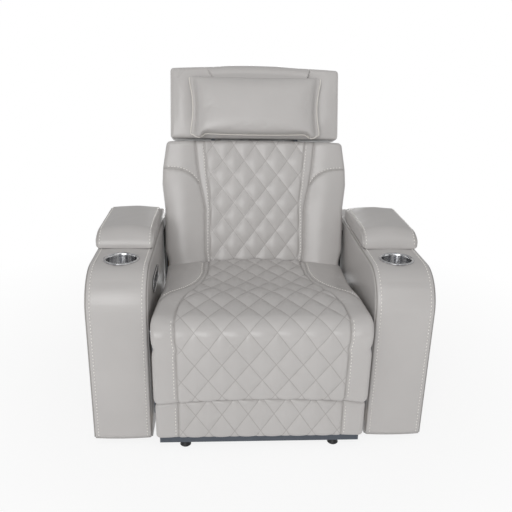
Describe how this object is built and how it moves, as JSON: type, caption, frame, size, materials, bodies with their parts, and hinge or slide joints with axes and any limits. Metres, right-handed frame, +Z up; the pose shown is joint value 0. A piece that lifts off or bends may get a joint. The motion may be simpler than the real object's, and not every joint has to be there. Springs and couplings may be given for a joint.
{
  "type": "power recliner chair",
  "caption": "Upholstered power recliner with quilted seat, back and footrest, tilting headrest with pillow, lidded storage arms, cup holders and side controls.",
  "frame": {"origin": "on the floor under the middle of the chair's bounding box, upright with the footrest down", "axes": "+Z up, +Y towards the back of the chair (it faces -Y), +X towards the viewer's right when facing it"},
  "size_m": [1.02, 0.8436, 1.0722],
  "materials": {
    "leather": "light greige upholstery leather, semi-gloss, fine grain",
    "frame_steel": "blue-grey enamel",
    "bright_steel": "bright zinc plate",
    "cup_steel": "polished stainless",
    "timber": "plain plywood",
    "black_plastic": "fine matt",
    "drive_plastic": "moulded matt",
    "switch_plastic": "gloss",
    "webbing": "woven elastic"
  },
  "bodies": {
    "base": {"arm_feet": "black_plastic", "arm_left": "leather", "arm_right": "leather", "arm_standoffs": "bright_steel", "back_actuator": "drive_plastic", "base_cross_bars": "frame_steel", "base_glides": "black_plastic", "base_side_rails": "frame_steel", "control_panel": "switch_plastic", "cup_holder_left": "cup_steel", "cup_holder_right": "cup_steel", "drive_motors": "drive_plastic", "footrest_actuator": "drive_plastic", "knee_roll": "leather", "lid_hinge_base_left": "bright_steel", "lid_hinge_base_right": "bright_steel", "lid_hinge_pins": "bright_steel", "pivot_pins": "bright_steel", "power_inlet": "black_plastic", "seat_cushion": "leather", "seat_frame": "timber", "seat_webbing": "webbing", "side_plate_left": "frame_steel", "side_plate_right": "frame_steel", "storage_bin_left": "black_plastic", "storage_bin_right": "black_plastic", "usb_socket": "black_plastic"},
    "footrest": {"footrest_board": "timber", "footrest_pad": "leather", "footrest_toe_pad": "leather", "footrest_hinge_arms": "frame_steel", "footrest_lever": "frame_steel"},
    "footrest_drive": {"footrest_drive_rod": "bright_steel"},
    "backrest": {"back_frame": "timber", "back_quilt_pad": "leather", "back_bolster_left": "leather", "back_bolster_right": "leather", "back_outside_cover": "leather", "back_brackets": "frame_steel", "back_lever": "frame_steel", "headrest_ears": "frame_steel", "headrest_actuator": "drive_plastic", "headrest_motor": "drive_plastic"},
    "back_drive": {"back_drive_rod": "bright_steel"},
    "headrest": {"headrest_board": "timber", "headrest_cushion": "leather", "headrest_rear_cover": "leather", "headrest_pillow": "leather", "headrest_hinge_arms": "frame_steel", "headrest_lever": "frame_steel"},
    "headrest_drive": {"headrest_drive_rod": "bright_steel"},
    "lid_left": {"lid_board_left": "timber", "lid_pad_left": "leather", "lid_hinge_leaf_left": "bright_steel"},
    "lid_right": {"lid_board_right": "timber", "lid_pad_right": "leather", "lid_hinge_leaf_right": "bright_steel"},
    "rocker_1": {"rocker_switch_1": "switch_plastic"},
    "rocker_2": {"rocker_switch_2": "switch_plastic"},
    "rocker_3": {"rocker_switch_3": "switch_plastic"}
  },
  "joints": [
    {"name": "footrest_hinge", "type": "hinge", "parent": "base", "child": "footrest", "pos_m": [0, -0.36976, 0.384], "axis": [-1, 0, 0], "range_deg": [0, 85], "deforming": ["knee_roll"]},
    {"name": "footrest_drive_slide", "type": "slide", "parent": "base", "child": "footrest_drive", "axis": [0, -1, 0], "range_m": [0, 0.16216]},
    {"name": "back_hinge", "type": "hinge", "parent": "base", "child": "backrest", "pos_m": [0, 0.15424, 0.345], "axis": [-1, 0, 0], "range_deg": [0, 40]},
    {"name": "back_drive_slide", "type": "slide", "parent": "base", "child": "back_drive", "axis": [0, -1, 0], "range_m": [0, 0.05474]},
    {"name": "headrest_hinge", "type": "hinge", "parent": "backrest", "child": "headrest", "pos_m": [0, 0.25513, 0.83346], "axis": [1, 0, 0], "range_deg": [0, 30]},
    {"name": "headrest_drive_slide", "type": "slide", "parent": "backrest", "child": "headrest_drive", "axis": [0, 0.284, 0.9588], "range_m": [0, 0.0404]},
    {"name": "lid_left_hinge", "type": "hinge", "parent": "base", "child": "lid_left", "pos_m": [-0.42, 0.18224, 0.562], "axis": [-1, 0, 0], "range_deg": [0, 85]},
    {"name": "lid_right_hinge", "type": "hinge", "parent": "base", "child": "lid_right", "pos_m": [0.42, 0.18224, 0.562], "axis": [-1, 0, 0], "range_deg": [0, 85]},
    {"name": "rocker_1_pivot", "type": "hinge", "parent": "base", "child": "rocker_1", "pos_m": [-0.3295, -0.20726, 0.465], "axis": [0, 0, 1], "range_deg": [-5, 5], "stiffness_Nm_per_rad": 0.3},
    {"name": "rocker_2_pivot", "type": "hinge", "parent": "base", "child": "rocker_2", "pos_m": [-0.3295, -0.17426, 0.465], "axis": [0, 0, 1], "range_deg": [-5, 5], "stiffness_Nm_per_rad": 0.3},
    {"name": "rocker_3_pivot", "type": "hinge", "parent": "base", "child": "rocker_3", "pos_m": [-0.3295, -0.14126, 0.465], "axis": [0, 0, 1], "range_deg": [-5, 5], "stiffness_Nm_per_rad": 0.3}
  ],
  "couplings": [
    {"joint": "footrest_drive_slide", "follows": "footrest_hinge", "m_per_rad": 0.10929},
    {"joint": "back_drive_slide", "follows": "back_hinge", "m_per_rad": 0.078385},
    {"joint": "headrest_drive_slide", "follows": "headrest_hinge", "m_per_rad": 0.077112}
  ]
}
